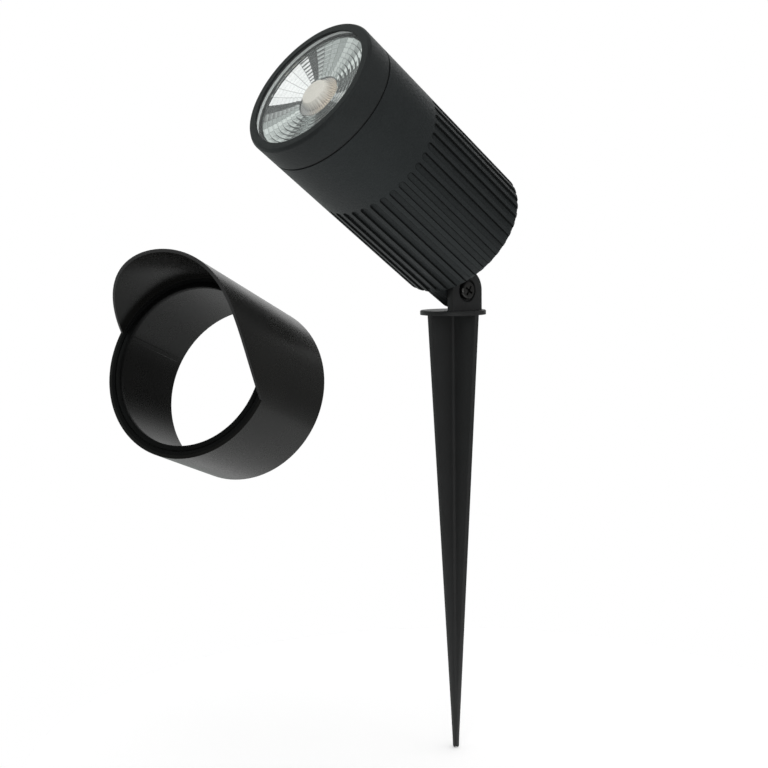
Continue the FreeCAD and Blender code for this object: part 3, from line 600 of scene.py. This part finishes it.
def reflector():
    """Dish of toothed rings cut into flat columns, with a plain rim outside and a neck inside."""
    steps = 5
    profile = [(DISH_NECK_R, HOLDER_Z)]
    for ring in range(RINGS):
        foot = dish_height(ring / RINGS) - TOOTH_SINK
        for i in range(steps + 1):
            share = i / steps
            crown = 4 * share * (1 - share) * TOOTH_CROWN
            profile.append((DISH_NECK_R + RING_WIDTH * (ring + share),
                            foot + RING_WIDTH * share * TOOTH_SLOPE + crown))
    profile += [(DISH_MOUTH_R, GLASS_Z), (RIM_R, GLASS_Z), (RIM_R, LEDGE_Z)]
    shape = spun(profile, SECTORS * SECTOR_STEPS, closed=False)

    half = math.pi / SECTORS
    for vert in shape.verts:
        on_facet = DISH_NECK_R * 0.99 < vert.co.xy.length < DISH_MOUTH_R * 1.001
        if on_facet and HOLDER_Z < vert.co.z < GLASS_Z - 0.01 * MM:
            turn = math.atan2(vert.co.y, vert.co.x) % (2 * half) - half
            flat = math.cos(half) / math.cos(turn)
            vert.co.x *= flat
            vert.co.y *= flat
    return shape


made("reflector_dish", reflector(), "head", "mirror_coat", ["reflector"], HEAD, smooth=2.5)


# ------------------------------------------------------------------ camera
CAMERA_PLACE = Vector((-0.44359, -0.43944, 0.03380))
CAMERA_HEADING = math.radians(42.346)      # from +Y towards +X
CAMERA_DIP = math.radians(5.982)
CAMERA_ROLL = math.radians(-0.694)
CAMERA_LENS = 64.17                        # millimetres, on a 36 mm frame


def aim_camera():
    forward = Vector((math.sin(CAMERA_HEADING) * math.cos(CAMERA_DIP),
                      math.cos(CAMERA_HEADING) * math.cos(CAMERA_DIP), -math.sin(CAMERA_DIP)))
    level = Vector((math.cos(CAMERA_HEADING), -math.sin(CAMERA_HEADING), 0))
    upright = level.cross(forward)
    right = level * math.cos(CAMERA_ROLL) + upright * math.sin(CAMERA_ROLL)
    up = upright * math.cos(CAMERA_ROLL) - level * math.sin(CAMERA_ROLL)
    data = bpy.data.cameras.new("camera")
    data.lens = CAMERA_LENS
    data.clip_start = 0.01
    camera = bpy.data.objects.new("camera", data)
    camera.matrix_world = (Matrix.Translation(CAMERA_PLACE)
                           @ Matrix((right, up, -forward)).transposed().to_4x4())
    bpy.context.scene.collection.objects.link(camera)
    bpy.context.scene.camera = camera


# ------------------------------------------------------------------ light and floor
AIR_STRENGTH = 5.0
WHITE_AIR = 0.2                            # times the strength, this is white
AIR_LEAN = Vector((0.075, -0.085, 0.0))    # how much stronger the ambient light is, per axis

# Walls in the surfaces' shine: dim on one side, lighter towards +Y, with some clutter.
DIM_TOWARDS = Vector((0.84, 0.1, 0.53))
DIM_LEVELS = (grey(0.008), grey(0.030))
LIGHT_TOWARDS = Vector((0, 1, 0))
LIGHT_LEVELS = ((0.055, 0.060, 0.058, 1), (0.160, 0.170, 0.165, 1))

# Floor, window and a strip behind the camera: the way to each, where it begins and where it is
# full as dot products, and its level.
STUDIO_LIGHTS = (((0, 0, -1), 0.3, 0.6, 0.128),
                 ((0.80, 0.58, 0.13), 0.90, 0.96, 0.22),
                 ((-0.67, -0.74, 0.03), 0.965, 0.99, 0.7))

# Oval panel: its directions, its middle and half sizes along them, and its levels by reach,
# which is the square of the distance from its middle over four times that of its edge.
PANEL_SIDE = Vector((0.683, -0.256, 0.683)).normalized()
PANEL_UP = Vector((-0.42, -0.90, 0.08)).normalized()
PANEL_MIDDLE = (0.05, -0.01)
PANEL_HALF = (0.22, 0.26)
PANEL_LEVELS = ((0.0, 0.25), (0.24, 0.21), (0.26, 0.008), (0.50, 0.008), (0.60, 0.075),
                (1.0, 0.075))

KEY_PLACE = Vector((-1.0, -0.9, 1.3))
KEY_TARGET = Vector((-0.05, 0, 0))
KEY_SIZE = 0.9
KEY_WATTS = 3
FLOOR_R = 0.2
FLOOR_GAP = 0.5 * MM                       # under the spike's tip


def studio_room(graph, way):
    """Colour of the studio that the surfaces reflect, in that way."""
    dim = graph.mix(graph.scaled(graph.along(way, DIM_TOWARDS), 0.0, 0.04), *DIM_LEVELS)
    clutter = graph.add("ShaderNodeTexNoise", inputs={"Vector": way, "Scale": 7.0, "Detail": 1.0})
    light = graph.mix(graph.scaled(clutter, 0.35, 0.65), *LIGHT_LEVELS)
    room = graph.mix(graph.scaled(graph.along(way, LIGHT_TOWARDS), 0.15, 0.4), dim, light)
    for towards, low, high, level in STUDIO_LIGHTS:
        near = graph.scaled(graph.along(way, Vector(towards).normalized()), low, high)
        room = graph.mix(near, room, grey(level))

    across = (graph.along(way, PANEL_SIDE) - PANEL_MIDDLE[0]) * (1 / PANEL_HALF[0])
    up = (graph.along(way, PANEL_UP) - PANEL_MIDDLE[1]) * (1 / PANEL_HALF[1])
    reach = graph.scaled(across * across + up * up, 0.0, 4.0)
    panel = graph.ramp(reach, [(place, grey(level)) for place, level in PANEL_LEVELS])
    ahead = graph.scaled(graph.along(way, PANEL_UP.cross(PANEL_SIDE)), 0.5, 0.55)
    return graph.mix(ahead * graph.scaled(reach, 0.7, 0.5), room, panel)


def studio_air():
    """White to the eye, ambient light for what is matt, and a darker studio for what shines."""
    world = bpy.data.worlds.new("studio")
    bpy.context.scene.world = world
    world.use_nodes = True
    graph = Graph(world.node_tree)
    seen = graph.add("ShaderNodeLightPath", output="Is Camera Ray")
    glossy = Wire(graph, seen.socket.node.outputs["Is Glossy Ray"])
    way = graph.add("ShaderNodeTexCoord", output="Generated")
    ambient = graph.along(way, AIR_LEAN) + WHITE_AIR
    matt = graph.mix(seen, ambient, grey(WHITE_AIR))
    background = world.node_tree.nodes["Background"]
    graph.plug(background.inputs["Color"], graph.mix(glossy, matt, studio_room(graph, way)))
    background.inputs["Strength"].default_value = AIR_STRENGTH


def key_light():
    data = bpy.data.lights.new("key", "AREA")
    data.shape = "RECTANGLE"
    data.size = data.size_y = KEY_SIZE
    data.energy = KEY_WATTS
    lamp = bpy.data.objects.new("key", data)
    lamp.location = KEY_PLACE
    lamp.rotation_euler = (KEY_TARGET - KEY_PLACE).to_track_quat("-Z", "Y").to_euler()
    bpy.context.scene.collection.objects.link(lamp)


def floor():
    """White disc just under the spike's tip."""
    shape = bmesh.new()
    bmesh.ops.create_circle(shape, cap_ends=True, radius=FLOOR_R, segments=GLASS_STEPS)
    shape.transform(Matrix.Translation((0, 0, SPIKE_TIP - FLOOR_GAP)))
    mesh = bpy.data.meshes.new("floor")
    shape.to_mesh(mesh)
    shape.free()
    paint = Finish("floor_paint", Roughness=1.0, Specular_IOR_Level=0.0,
                   Emission_Strength=0.06, Emission_Color=grey(1.0))
    paint.feed("Base Color", paint.mix(paint.noise(0.4, 2), grey(0.94), grey(0.97)))
    mesh.materials.append(paint.material)
    ground = bpy.data.objects.new("floor", mesh)
    bpy.context.scene.collection.objects.link(ground)


aim_camera()
studio_air()
floor()
key_light()
bpy.context.scene.view_settings.view_transform = "Standard"
